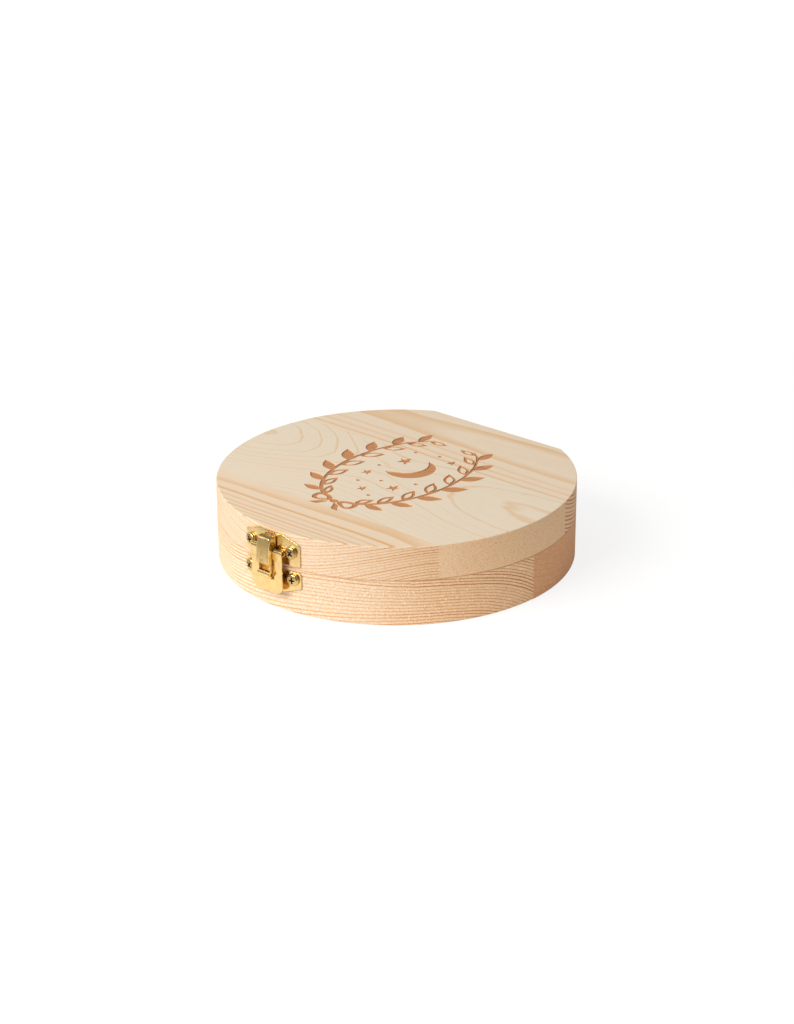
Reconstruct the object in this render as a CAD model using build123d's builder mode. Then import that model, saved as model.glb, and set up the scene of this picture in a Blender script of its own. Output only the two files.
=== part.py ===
from build123d import *
import os
from math import asin, cos, degrees, radians, sin

# Keepsake box for milk teeth: a round pine box with one flat side, a hinged lid and a brass toggle latch.
# Millimetres, +Z up. The origin is the centre of the round outline, on the face that the box stands on.
# The latch is at the front (-Y) and the flat side with the two hinges is at the back (+Y).

# Wooden body: the flat side cuts this much off the round outline
outer_radius = 62.0
flat_cut = 7.3
base_height = 16.0
lid_height = 12.0
outer_arris = 0.4
parting_arris = 0.2

# Widths of the lid's outer staves, and how far in front of the centre the base's glue line lies
lid_front_stave_width = 25.4
lid_back_stave_width = 36.7
base_glue_offset = 2.0

# Tooth pockets: two arches of ten round pockets about one round keepsake recess
pocket_radius = 5.0
pocket_depth = 10.0
pocket_arris = 0.4
pocket_rim = 13.5
pocket_ring_setback = 3.2
pockets_per_arch = 10
arch_span_angle = 148.0
recess_wall = 13.5
recess_depth = 9.0

# Sheet brass of the toggle latch
plate_thickness = 0.6
sheet = 0.45
lever_pin_radius = 0.4
claw_pin_radius = 0.6
pin_recess = 0.25
pin_clearance = 0.04
side_clearance = 0.1

# Lever: its pivot stands off the wall and above the parting line, the claw's pivot hangs below it
lever_width = 13.6
lever_face = 2.6
lever_pivot_reach = 1.8
lever_pivot_rise = 5.3
lever_bend_drop = 3.1
lever_tail = 6.6
lever_corner_radius = 2.2
lever_shoulder_radius = 0.8
pivot_spacing = 8.1
claw_pivot_reach = 3.25
window_width = 6.6
window_drop = 0.95
window_corner_radius = 0.5

# Lip of the catch plate, above the lever's rolled top, and the window that it is lanced from
lip_width = 3.8
lip_gap = 0.41
lip_length = 2.95
lip_reach = 1.6
lance_margin = 0.3
lance_rise = 0.65

# Catch plate on the lid
catch_gap = 1.1
catch_chamfer = 2.4
catch_top_width = 11.2
catch_top_rise = 1.75
catch_screw_margin = 2.05
catch_edge_distance = 3.15
plate_corner_radius = 0.6

# Back plate on the base, with the strap that carries the lever's pivot
back_plate_gap = 1.0
back_plate_height = 8.0
back_plate_chamfer = 2.4
back_plate_bottom_width = 10.4
back_screw_margin = 2.63
back_edge_distance = 2.87
strap_width = 4.2
strap_overlap = 2.4
strap_joggle_drop = 0.8
strap_joggle_height = 2.2

# Claw
claw_width = 5.6
claw_back = 0.95
claw_top_front = 3.8
claw_bend_rise = 1.7
claw_bend_reach = 4.6
claw_web_rise = 4.0
claw_bottom_reach = 4.95
claw_heel = 2.0
claw_leg_front = 3.7
claw_eye_radius = 1.05
claw_corner_radius = 0.7
claw_edge_radius = 0.35
lip_clearance = 0.3
notch_clearance = 0.3

# Screws of the latch, radial to the box
latch_head_radius = 2.1
latch_head_height = 1.3
latch_head_side = 0.45
latch_shank_radius = 0.95
latch_screw_length = 7.5
latch_screw_point = 1.8
catch_screw_rise = 5.9
back_screw_drop = 3.6

# Butt hinges on the flat side
hinge_width = 16.0
hinge_spacing = 34.0
hinge_leaf = 0.8
leaf_depth = 7.4
leaf_corner_radius = 0.8
hinge_pin_radius = 0.6
hinge_knuckle_wall = 0.75
hinge_standoff = 0.3
hinge_end_gap = 0.15
hinge_pin_head_radius = 1.0
hinge_pin_head = 0.4

# Countersunk screws of the hinges
hinge_head_radius = 1.5
hinge_head_dome = 0.35
hinge_shank_radius = 0.75
hinge_screw_length = 5.6
hinge_screw_point = 1.4
hinge_screw_pitch = 9.0
hinge_screw_rise = 4.6

# Clearance of a screw in its hole, and how far a cutting shape runs past what it cuts
hole_clearance = 0.05
overrun = 3.0

os.makedirs("parts", exist_ok=True)

total_height = base_height + lid_height
flat_distance = outer_radius - flat_cut

# Glue lines between the staves, as distances from the centre along Y
lid_front_glue_line = lid_front_stave_width - outer_radius
lid_back_glue_line = flat_distance - lid_back_stave_width
base_glue_line = -base_glue_offset

# Rings of the pockets and of the recess inside them
pocket_ring_radius = outer_radius - pocket_rim - pocket_radius
recess_radius = pocket_ring_radius - pocket_radius - recess_wall

# Rolled sheet round the pins of the latch, and the knuckles of the hinges
lever_roll_bore = lever_pin_radius + pin_clearance
lever_roll = lever_roll_bore + sheet
tongue_bore = claw_pin_radius + pin_clearance
tongue_roll = tongue_bore + sheet
hinge_bore = hinge_pin_radius + hole_clearance
hinge_knuckle = hinge_bore + hinge_knuckle_wall
hinge_axis_reach = hinge_knuckle + hinge_standoff

# Heights of the latch, all counted from the parting line
lever_pivot_height = base_height + lever_pivot_rise
claw_pivot_height = lever_pivot_height - pivot_spacing
lip_root = lever_pivot_height + lever_roll + lip_gap
lip_tip = lip_root + lip_length
claw_top = lip_tip + lip_clearance + sheet
catch_bottom = base_height + catch_gap
catch_top = lip_tip + catch_top_rise
back_plate_top = base_height - back_plate_gap
back_plate_bottom = back_plate_top - back_plate_height

# Screws and widths of the plates, set out from the sides of the lever
catch_screw_offset = lever_width / 2 + catch_screw_margin
back_screw_offset = lever_width / 2 + back_screw_margin
catch_width = 2 * (catch_screw_offset + catch_edge_distance)
back_plate_width = 2 * (back_screw_offset + back_edge_distance)

# Upright planes of the latch: its side view, with X outwards from the wall, and its front view
latch_side = Plane(origin=(0, -outer_radius, 0), x_dir=(0, -1, 0), z_dir=(-1, 0, 0))
latch_front = Plane(origin=(0, -outer_radius, 0), x_dir=(1, 0, 0), z_dir=(0, -1, 0))

# Upright planes of the hinges: side view, with X outwards from the flat side, and rear view
hinge_side = Plane(origin=(0, flat_distance, 0), x_dir=(0, 1, 0), z_dir=(1, 0, 0))
hinge_rear = Plane(origin=(0, flat_distance, 0), x_dir=(-1, 0, 0), z_dir=(0, 1, 0))


def radial_plane(angle, radius, height):
    """A plane that faces straight out from the round wall; the angle is counted from the front."""
    turn = radians(angle)
    return Plane(
        origin=(radius * sin(turn), -radius * cos(turn), height),
        x_dir=(cos(turn), sin(turn), 0),
        z_dir=(sin(turn), -cos(turn), 0),
    )


def catch_screw_seats(radius):
    """Seats of the catch plate's screws at this distance from the box's centre."""
    angle = degrees(asin(catch_screw_offset / outer_radius))
    return [radial_plane(side * angle, radius, base_height + catch_screw_rise) for side in (-1, 1)]


def back_screw_seats(radius):
    """Seats of the back plate's screws at this distance from the box's centre."""
    angle = degrees(asin(back_screw_offset / outer_radius))
    return [radial_plane(side * angle, radius, base_height - back_screw_drop) for side in (-1, 1)]


def hinge_screw_seats(side, rise):
    """Seats of one hinge leaf's two screws, on its outer face, at this height over the hinge axis."""
    middle = side * hinge_spacing / 2
    return [
        Plane(
            origin=(middle + end * hinge_screw_pitch / 2, flat_distance + hinge_leaf, base_height + rise),
            x_dir=(-1, 0, 0),
            z_dir=(0, 1, 0),
        )
        for end in (-1, 1)
    ]


def wooden_slab(bottom, height, outer_end, parting_end):
    """Adds a slab with the box's outline, round with one flat side. The ends are 0 for the lower face
    and -1 for the upper: both rims are chamfered, the one at the parting line less."""
    with BuildSketch(Plane.XY.offset(bottom)) as outline:
        Circle(outer_radius)
        with Locations((0, flat_distance + outer_radius)):
            Rectangle(2 * outer_radius, 2 * outer_radius, mode=Mode.SUBTRACT)
    extrude(outline.sketch, amount=height)
    chamfer(faces().filter_by(Axis.Z).sort_by(Axis.Z)[outer_end].edges(), length=outer_arris)
    chamfer(faces().filter_by(Axis.Z).sort_by(Axis.Z)[parting_end].edges(), length=parting_arris)


def keep_stave(low, high):
    """Keeps what lies between two glue lines."""
    with BuildSketch(Plane.XZ.offset(-low)) as section:
        with Locations((0, total_height / 2)):
            Rectangle(2 * outer_radius + overrun, total_height + overrun)
    extrude(section.sketch, amount=low - high, mode=Mode.INTERSECT)


def drill(seats, radius, depth):
    """Drills a hole of this depth at each seat, through whatever lies over the seat."""
    for seat in seats:
        with BuildSketch(seat.offset(overrun)) as hole:
            Circle(radius)
        extrude(hole.sketch, amount=-(depth + overrun), mode=Mode.SUBTRACT)


def pocket_places():
    """Centres of the tooth pockets: a front and a back arch on one ring, with a gap at each side."""
    first = (180 - arch_span_angle) / 2
    step = arch_span_angle / (pockets_per_arch - 1)
    return [
        (
            pocket_ring_radius * cos(radians(start + first + step * number)),
            pocket_ring_radius * sin(radians(start + first + step * number)) - pocket_ring_setback,
        )
        for start in (0, 180)
        for number in range(pockets_per_arch)
    ]


def mill_pockets():
    """Mills the tooth pockets and the keepsake recess down from the parting face."""
    mouth = Plane.XY.offset(base_height)
    with BuildSketch(mouth) as pockets:
        with Locations(*pocket_places()):
            Circle(pocket_radius)
    extrude(pockets.sketch, amount=-pocket_depth, mode=Mode.SUBTRACT)
    with BuildSketch(mouth) as recess:
        with Locations((0, -pocket_ring_setback)):
            Circle(recess_radius)
    extrude(recess.sketch, amount=-recess_depth, mode=Mode.SUBTRACT)
    rounds = edges().filter_by(GeomType.CIRCLE).filter_by_position(Axis.Z, base_height, base_height)
    mouths = rounds.filter_by(lambda edge: edge.radius < (recess_radius + outer_radius) / 2)
    chamfer(mouths, length=pocket_arris)


def plate_on_wall(outline, corner_radius):
    """Adds a sheet that follows the round wall, cut to an outline seen from the front."""
    heights = [height for _, height in outline]
    with BuildSketch(Plane.XY.offset(min(heights))) as ring:
        Circle(outer_radius + plate_thickness)
        Circle(outer_radius, mode=Mode.SUBTRACT)
    extrude(ring.sketch, amount=max(heights) - min(heights))
    with BuildSketch(latch_front) as front_view:
        with BuildLine():
            Polyline(*outline, close=True)
        make_face()
        fillet(front_view.vertices(), radius=corner_radius)
    extrude(front_view.sketch, amount=catch_width / 2, both=True, mode=Mode.INTERSECT)


def pan_head_screw(seat):
    """Adds a screw with a domed head above its seat and a pointed shank below it."""
    section = Plane(origin=seat.origin, x_dir=seat.x_dir, z_dir=-seat.y_dir)
    dome_height = latch_head_height - latch_head_side
    dome_radius = (latch_head_radius**2 + dome_height**2) / (2 * dome_height)
    with BuildSketch(section) as profile:
        with BuildLine():
            Polyline(
                (0, latch_head_height),
                (0, -latch_screw_length),
                (latch_shank_radius, latch_screw_point - latch_screw_length),
                (latch_shank_radius, 0),
                (latch_head_radius, 0),
                (latch_head_radius, latch_head_side),
            )
            RadiusArc((latch_head_radius, latch_head_side), (0, latch_head_height), -dome_radius)
        make_face()
    revolve(profile.sketch, axis=Axis(seat.origin, seat.z_dir))


def oval_head_screw(seat):
    """Adds a countersunk screw with a slightly domed head, flush at its rim with its seat."""
    section = Plane(origin=seat.origin, x_dir=seat.x_dir, z_dir=-seat.y_dir)
    cone_depth = hinge_head_radius - hinge_shank_radius
    dome_radius = (hinge_head_radius**2 + hinge_head_dome**2) / (2 * hinge_head_dome)
    with BuildSketch(section) as profile:
        with BuildLine():
            Polyline(
                (0, hinge_head_dome),
                (0, -hinge_screw_length),
                (hinge_shank_radius, hinge_screw_point - hinge_screw_length),
                (hinge_shank_radius, -cone_depth),
                (hinge_head_radius, 0),
            )
            RadiusArc((hinge_head_radius, 0), (0, hinge_head_dome), -dome_radius)
        make_face()
    revolve(profile.sketch, axis=Axis(seat.origin, seat.z_dir))


def countersink(seat):
    """Cuts the seat of an oval head screw through a hinge leaf."""
    section = Plane(origin=seat.origin, x_dir=seat.x_dir, z_dir=-seat.y_dir)
    mouth = hinge_head_radius + hole_clearance
    throat = hinge_shank_radius + hole_clearance
    with BuildSketch(section) as profile:
        Polygon(
            (0, overrun),
            (0, -hinge_leaf - overrun),
            (throat, -hinge_leaf - overrun),
            (throat, throat - mouth),
            (mouth, 0),
            (mouth, overrun),
            align=None,
        )
    revolve(profile.sketch, axis=Axis(seat.origin, seat.z_dir), mode=Mode.SUBTRACT)


def hinge_leaf_with_knuckles(side, turn, segments):
    """Adds one hinge leaf: turn is -1 for the leaf on the base and 1 for the one on the lid.
    Segments gives the knuckles that this leaf has, counted from the leaf's middle."""
    middle = hinge_side.offset(side * hinge_spacing / 2)
    inner = turn * hinge_knuckle
    outer = turn * leaf_depth
    knuckle_length = hinge_width / 3
    with BuildSketch(hinge_rear) as leaf_outline:
        with Locations((-side * hinge_spacing / 2, base_height + (inner + outer) / 2)):
            Rectangle(hinge_width, abs(outer - inner))
        corners = leaf_outline.vertices().sort_by(Axis.Y)
        fillet(corners[2:] if turn > 0 else corners[:2], radius=leaf_corner_radius)
    extrude(leaf_outline.sketch, amount=hinge_leaf)
    for segment in segments:
        with BuildSketch(middle.offset(segment * knuckle_length)) as knuckle:
            with Locations((hinge_axis_reach, base_height)):
                Circle(hinge_knuckle)
            with Locations(((hinge_standoff + hinge_leaf) / 2, base_height + inner / 2)):
                Rectangle(hinge_leaf - hinge_standoff, hinge_knuckle)
            with Locations((hinge_axis_reach, base_height)):
                Circle(hinge_bore, mode=Mode.SUBTRACT)
        extrude(knuckle.sketch, amount=(knuckle_length - hinge_end_gap) / 2, both=True)
    for seat in hinge_screw_seats(side, turn * hinge_screw_rise):
        countersink(seat)


# The lid's three staves, glued edge to edge, with the pilot holes of the catch plate and the hinges
lid_screw_holes = catch_screw_seats(outer_radius)
lid_hinge_holes = [seat for side in (-1, 1) for seat in hinge_screw_seats(side, hinge_screw_rise)]
lid_staves = {
    "lid_front_stave": (-outer_radius - overrun, lid_front_glue_line),
    "lid_middle_stave": (lid_front_glue_line, lid_back_glue_line),
    "lid_back_stave": (lid_back_glue_line, outer_radius),
}
for name, (low, high) in lid_staves.items():
    with BuildPart() as lid_stave:
        wooden_slab(base_height, lid_height, -1, 0)
        keep_stave(low, high)
        if low < -outer_radius:
            drill(lid_screw_holes, latch_shank_radius + hole_clearance, latch_screw_length)
        if high > flat_distance:
            drill(lid_hinge_holes, hinge_shank_radius + hole_clearance, hinge_screw_length)
    lid_stave.part.label = name
    export_step(lid_stave.part, f"parts/{name}.step")

# The base's two staves, milled with the pockets, and their pilot holes
base_screw_holes = back_screw_seats(outer_radius)
base_hinge_holes = [seat for side in (-1, 1) for seat in hinge_screw_seats(side, -hinge_screw_rise)]
base_staves = {
    "base_front_stave": (-outer_radius - overrun, base_glue_line),
    "base_back_stave": (base_glue_line, outer_radius),
}
for name, (low, high) in base_staves.items():
    with BuildPart() as base_stave:
        wooden_slab(0, base_height, 0, -1)
        mill_pockets()
        keep_stave(low, high)
        if low < -outer_radius:
            drill(base_screw_holes, latch_shank_radius + hole_clearance, latch_screw_length)
        if high > flat_distance:
            drill(base_hinge_holes, hinge_shank_radius + hole_clearance, hinge_screw_length)
    base_stave.part.label = name
    export_step(base_stave.part, f"parts/{name}.step")

# Catch plate: chamfered at the top, with a lip lanced out of its middle and bent up
catch_outline = [
    (-catch_width / 2, catch_bottom),
    (catch_width / 2, catch_bottom),
    (catch_width / 2, catch_top - catch_chamfer),
    (catch_top_width / 2, catch_top),
    (-catch_top_width / 2, catch_top),
    (-catch_width / 2, catch_top - catch_chamfer),
]
with BuildPart() as catch_plate:
    plate_on_wall(catch_outline, plate_corner_radius)
    with BuildSketch(latch_front):
        lance_bottom = lip_root + plate_thickness
        lance_top = lip_tip + lance_rise
        with Locations((0, (lance_bottom + lance_top) / 2)):
            Rectangle(lip_width + 2 * lance_margin, lance_top - lance_bottom)
    extrude(amount=overrun, both=True, mode=Mode.SUBTRACT)
    with BuildSketch(latch_side):
        with BuildLine():
            FilletPolyline(
                (plate_thickness / 2, lip_root),
                (lip_reach, lip_root),
                (lip_reach, lip_tip),
                radius=plate_thickness,
            )
            Polyline(
                (lip_reach, lip_tip),
                (lip_reach - plate_thickness, lip_tip),
                (lip_reach - plate_thickness, lip_root + plate_thickness),
                (plate_thickness / 2, lip_root + plate_thickness),
                (plate_thickness / 2, lip_root),
            )
        make_face()
    extrude(amount=lip_width / 2, both=True)
    drill(catch_screw_seats(outer_radius), latch_shank_radius + hole_clearance, plate_thickness)
catch_plate.part.label = "catch_plate"
export_step(catch_plate.part, "parts/catch_plate.step")

# Back plate: chamfered at the bottom, with a strap that stands off the wall and is rolled round the pivot
back_outline = [
    (-back_plate_bottom_width / 2, back_plate_bottom),
    (back_plate_bottom_width / 2, back_plate_bottom),
    (back_plate_width / 2, back_plate_bottom + back_plate_chamfer),
    (back_plate_width / 2, back_plate_top),
    (-back_plate_width / 2, back_plate_top),
    (-back_plate_width / 2, back_plate_bottom + back_plate_chamfer),
]
strap_back = lever_pivot_reach - lever_roll
strap_foot = back_plate_top - strap_overlap
strap_joggle_start = back_plate_top - strap_joggle_drop
strap_joggle_end = strap_joggle_start + strap_joggle_height
with BuildPart() as latch_back_plate:
    plate_on_wall(back_outline, plate_corner_radius)
    with BuildSketch(latch_side):
        Polygon(
            (plate_thickness - sheet, strap_foot),
            (plate_thickness, strap_foot),
            (plate_thickness, strap_joggle_start),
            (strap_back + sheet, strap_joggle_end),
            (strap_back + sheet, lever_pivot_height),
            (strap_back, lever_pivot_height),
            (strap_back, strap_joggle_end),
            (plate_thickness - sheet, strap_joggle_start),
            align=None,
        )
        with Locations((lever_pivot_reach, lever_pivot_height)):
            Circle(lever_roll)
            Circle(lever_roll_bore, mode=Mode.SUBTRACT)
    extrude(amount=strap_width / 2, both=True)
    drill(back_screw_seats(outer_radius), latch_shank_radius + hole_clearance, plate_thickness)
latch_back_plate.part.label = "latch_back_plate"
export_step(latch_back_plate.part, "parts/latch_back_plate.step")

# Lever: a flat plate with a window, rolled round its pivot at the top, and the tongue from the window's
# lower edge rolled the other way round the claw's pin
lever_back = lever_face - sheet
lever_bottom = claw_pivot_height - lever_tail
lever_bend_height = lever_pivot_height - lever_bend_drop
window_top = lever_pivot_height - window_drop
tongue_bend = claw_pivot_reach - lever_back
tongue_root = claw_pivot_height - tongue_bore - tongue_bend
tongue_width = claw_width - 2 * sheet - 2 * side_clearance
with BuildPart() as latch_lever:
    with BuildSketch(latch_side):
        Polygon(
            (lever_back, lever_bottom),
            (lever_face, lever_bottom),
            (lever_face, lever_bend_height),
            (lever_pivot_reach + lever_roll, lever_pivot_height),
            (lever_pivot_reach + lever_roll_bore, lever_pivot_height),
            (lever_back, lever_bend_height),
            align=None,
        )
        with Locations((lever_pivot_reach, lever_pivot_height)):
            Circle(lever_roll)
            Circle(lever_roll_bore, mode=Mode.SUBTRACT)
    extrude(amount=lever_width / 2, both=True)
    with BuildSketch(latch_front) as lever_outline:
        top = lever_pivot_height + lever_roll
        with Locations((0, (lever_bottom + top) / 2)):
            Rectangle(lever_width, top - lever_bottom)
        corners = lever_outline.vertices().sort_by(Axis.Y)
        fillet(corners[:2], radius=lever_corner_radius)
        corners = lever_outline.vertices().sort_by(Axis.Y)
        fillet(corners[-2:], radius=lever_shoulder_radius)
    extrude(amount=lever_face + overrun, mode=Mode.INTERSECT)
    with BuildSketch(latch_front.offset(lever_back - side_clearance)):
        with Locations((0, (tongue_root + window_top) / 2)):
            RectangleRounded(window_width, window_top - tongue_root, window_corner_radius)
    extrude(amount=overrun, mode=Mode.SUBTRACT)
    with BuildSketch(latch_front):
        with Locations((0, lever_pivot_height)):
            Rectangle(strap_width + 2 * side_clearance, 2 * lever_roll + side_clearance)
    extrude(amount=lever_face + overrun, mode=Mode.SUBTRACT)
    with BuildSketch(latch_side):
        with Locations((claw_pivot_reach, claw_pivot_height)):
            Circle(tongue_roll)
            Circle(tongue_bore, mode=Mode.SUBTRACT)
        with Locations((claw_pivot_reach - tongue_roll / 2, claw_pivot_height - tongue_roll / 2)):
            Rectangle(tongue_roll, tongue_roll, mode=Mode.SUBTRACT)
        with BuildLine():
            outside = CenterArc((claw_pivot_reach, tongue_root), tongue_bend, 90, 90)
            inside = CenterArc((claw_pivot_reach, tongue_root), tongue_bend - sheet, 90, 90)
            Line(outside @ 0, inside @ 0)
            Line(outside @ 1, inside @ 1)
        make_face()
    extrude(amount=tongue_width / 2, both=True)
latch_lever.part.label = "latch_lever"
export_step(latch_lever.part, "parts/latch_lever.step")

# Claw: a channel whose closed top hooks over the lip, with notches that clear the lever's rolled top,
# and two legs with eyes for the pin
notch_reach = lever_pivot_reach + lever_roll + notch_clearance
notch_bottom = lever_pivot_height - lever_roll - notch_clearance
notch_top = lever_pivot_height + lever_roll + notch_clearance
eye_back = claw_pivot_reach - claw_eye_radius
claw_bend_height = lever_pivot_height + claw_bend_rise
claw_web_bottom = claw_pivot_height + claw_web_rise
with BuildPart() as latch_claw:
    with BuildSketch(latch_side) as cheek:
        with BuildLine():
            Polyline(
                (claw_back, claw_top),
                (claw_top_front, claw_top),
                (claw_bend_reach, claw_bend_height),
                (claw_bottom_reach, claw_web_bottom),
                (claw_leg_front, claw_web_bottom),
                (claw_leg_front, claw_pivot_height),
                (eye_back, claw_pivot_height),
                (claw_heel, claw_web_bottom),
                (claw_heel, notch_bottom),
                (notch_reach, notch_bottom),
                (notch_reach, notch_top),
                (claw_back, notch_top),
                close=True,
            )
        make_face()
        top_corners = cheek.vertices().group_by(Axis.Y)[-1]
        fillet(top_corners, radius=claw_corner_radius)
        with Locations((claw_pivot_reach, claw_pivot_height)):
            Circle(claw_eye_radius)
            Circle(tongue_bore, mode=Mode.SUBTRACT)
    extrude(amount=claw_width / 2, both=True)
    web_edges = edges().filter_by_position(
        Axis.Y, -outer_radius - claw_bottom_reach, -outer_radius - claw_top_front + claw_corner_radius
    )
    fillet(web_edges.filter_by(lambda edge: abs(edge.center().X) > claw_width / 4), radius=claw_edge_radius)
    with BuildSketch(latch_side):
        Polygon(
            (claw_back - overrun, claw_top - sheet),
            (claw_top_front - sheet, claw_top - sheet),
            (claw_bend_reach - sheet, claw_bend_height),
            (claw_bottom_reach - sheet, claw_web_bottom),
            (claw_bottom_reach + overrun, claw_web_bottom),
            (claw_bottom_reach + overrun, claw_pivot_height - overrun),
            (claw_back - overrun, claw_pivot_height - overrun),
            align=None,
        )
    extrude(amount=claw_width / 2 - sheet, both=True, mode=Mode.SUBTRACT)
latch_claw.part.label = "latch_claw"
export_step(latch_claw.part, "parts/latch_claw.step")

# Pins of the latch
with BuildPart() as lever_pin:
    with BuildSketch(latch_side):
        with Locations((lever_pivot_reach, lever_pivot_height)):
            Circle(lever_pin_radius)
    extrude(amount=lever_width / 2 - lever_shoulder_radius, both=True)
lever_pin.part.label = "lever_pin"
export_step(lever_pin.part, "parts/lever_pin.step")

with BuildPart() as claw_pin:
    with BuildSketch(latch_side):
        with Locations((claw_pivot_reach, claw_pivot_height)):
            Circle(claw_pin_radius)
    extrude(amount=claw_width / 2 - pin_recess, both=True)
claw_pin.part.label = "claw_pin"
export_step(claw_pin.part, "parts/claw_pin.step")

# Screws of the latch
with BuildPart() as catch_plate_screws:
    for seat in catch_screw_seats(outer_radius + plate_thickness):
        pan_head_screw(seat)
catch_plate_screws.part.label = "catch_plate_screws"
export_step(catch_plate_screws.part, "parts/catch_plate_screws.step")

with BuildPart() as back_plate_screws:
    for seat in back_screw_seats(outer_radius + plate_thickness):
        pan_head_screw(seat)
back_plate_screws.part.label = "back_plate_screws"
export_step(back_plate_screws.part, "parts/back_plate_screws.step")

# The two butt hinges, seen from the front as left and right, with their pins
for hand, side in (("left", -1), ("right", 1)):
    with BuildPart() as base_leaf:
        hinge_leaf_with_knuckles(side, -1, (-1, 1))
    base_leaf.part.label = f"{hand}_hinge_base_leaf"
    export_step(base_leaf.part, f"parts/{hand}_hinge_base_leaf.step")

    with BuildPart() as lid_leaf:
        hinge_leaf_with_knuckles(side, 1, (0,))
    lid_leaf.part.label = f"{hand}_hinge_lid_leaf"
    export_step(lid_leaf.part, f"parts/{hand}_hinge_lid_leaf.step")

    with BuildPart() as hinge_pin:
        middle = hinge_side.offset(side * hinge_spacing / 2)
        with BuildSketch(middle):
            with Locations((hinge_axis_reach, base_height)):
                Circle(hinge_pin_radius)
        extrude(amount=hinge_width / 2, both=True)
        for end in (-1, 1):
            with BuildSketch(middle.offset(end * hinge_width / 2)):
                with Locations((hinge_axis_reach, base_height)):
                    Circle(hinge_pin_head_radius)
            extrude(amount=end * hinge_pin_head)
    hinge_pin.part.label = f"{hand}_hinge_pin"
    export_step(hinge_pin.part, f"parts/{hand}_hinge_pin.step")

# Screws of the hinges
with BuildPart() as lid_hinge_screws:
    for side in (-1, 1):
        for seat in hinge_screw_seats(side, hinge_screw_rise):
            oval_head_screw(seat)
lid_hinge_screws.part.label = "lid_hinge_screws"
export_step(lid_hinge_screws.part, "parts/lid_hinge_screws.step")

with BuildPart() as base_hinge_screws:
    for side in (-1, 1):
        for seat in hinge_screw_seats(side, -hinge_screw_rise):
            oval_head_screw(seat)
base_hinge_screws.part.label = "base_hinge_screws"
export_step(base_hinge_screws.part, "parts/base_hinge_screws.step")
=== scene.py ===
from math import asin, atan2, cos, hypot, pi, radians, sin, sqrt

import bmesh
import bpy
from mathutils import Matrix, Vector


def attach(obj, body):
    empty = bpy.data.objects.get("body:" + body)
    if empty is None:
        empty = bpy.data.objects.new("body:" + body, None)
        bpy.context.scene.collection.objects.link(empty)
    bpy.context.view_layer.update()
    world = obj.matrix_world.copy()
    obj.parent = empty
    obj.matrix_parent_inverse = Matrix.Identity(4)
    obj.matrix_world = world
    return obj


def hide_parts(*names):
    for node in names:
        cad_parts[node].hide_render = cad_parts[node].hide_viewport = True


bl_info = {
    "name": "Keepsake Box",
    "version": (1, 0, 0),
    "blender": (4, 5, 0),
    "location": "3D View > Sidebar > Keepsake Box",
    "description": "Dresses the wooden box for milk teeth, its toggle latch and its hinges",
    "category": "Object",
}

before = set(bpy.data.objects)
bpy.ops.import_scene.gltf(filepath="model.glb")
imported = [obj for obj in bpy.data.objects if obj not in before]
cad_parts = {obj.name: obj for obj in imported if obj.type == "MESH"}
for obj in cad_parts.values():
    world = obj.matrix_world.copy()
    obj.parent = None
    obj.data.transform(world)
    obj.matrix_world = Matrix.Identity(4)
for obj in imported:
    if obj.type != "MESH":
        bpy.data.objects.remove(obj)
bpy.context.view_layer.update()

# Sizes of the box in millimetres, as in the part's source: its round wall, the distance of the flat side
# from the middle, and the heights of the parting line and the top
MM = 0.001
RADIUS, FLAT = 62.0, 54.7
PARTING, TOP = 16.0, 28.0
RIM_STEPS = 256
# Thickness of the latch's thin sheet and of its plates
SHEET, PLATE = 0.45, 0.6
# Edges that turn by more than this many degrees stay crisp
WOOD_SHARP, METAL_SHARP = 14, 38
# Tooth pockets: two arches on a ring, set back from the latch, and the keepsake recess inside them
POCKETS_PER_ARCH, ARCH_SPAN = 10, 148.0
POCKET_RING, POCKET_SETBACK = 43.5, 3.2
POCKET_RADIUS, POCKET_DEPTH, POCKET_EASE = 5.0, 10.0, 0.4
RECESS_RADIUS, RECESS_DEPTH = 25.0, 9.0

# Latch: pivots and points are (reach from the wall, height), and a roll is the radius of a rolled sheet
LEVER_PIVOT = (1.8, 21.3)
CLAW_PIVOT = (3.25, 13.2)
STRAP_ROLL, STRAP_WIDTH = 0.665, 4.2
LEVER_ROLL, LEVER_WIDTH, LEVER_FOOT, LEVER_CORNER = 0.82, 13.6, 6.6, 3.6
WINDOW_WIDTH, WINDOW_LOW, WINDOW_HIGH = 6.6, 11.46, 20.35
STRAP_GAP = 4.4
TONGUE_ROLL, TONGUE_WIDTH, TONGUE_EDGE = 0.865, 4.5, 0.2
LIP_WIDTH = 3.8
CLAW_WIDTH, CLAW_TOP, CLAW_BEND, CLAW_FOOT = 5.6, 26.3, 23.0, 17.2
# Reach of the claw's back, top, bend and foot, the rounding of its two top corners and of its long edges
CLAW_REACHES = (0.95, 3.8, 4.6, 4.95)
CLAW_CORNERS, CLAW_EDGE = (0.5, 0.9), 0.6
EYE_RADIUS, EYE_BORE = 1.05, 0.64
# Plates as seen from the front, (x, height)
CATCH_OUTLINE = ((-12.0, 17.1), (12.0, 17.1), (12.0, 24.9), (5.6, 27.3), (-5.6, 27.3), (-12.0, 24.9))
BACK_OUTLINE = ((-5.2, 7.0), (5.2, 7.0), (12.3, 9.4), (12.3, 15.0), (-12.3, 15.0), (-12.3, 9.4))
PLATE_CORNER = 0.6
LATCH_HEAD_HEIGHT, HINGE_HEAD_HEIGHT = 1.3, 0.35
# Rounding of the screws' edges, and how far below the top of a head its recess is painted dark as shade
SCREW_EDGE, RECESS_LIP = 0.04, 0.16

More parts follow.
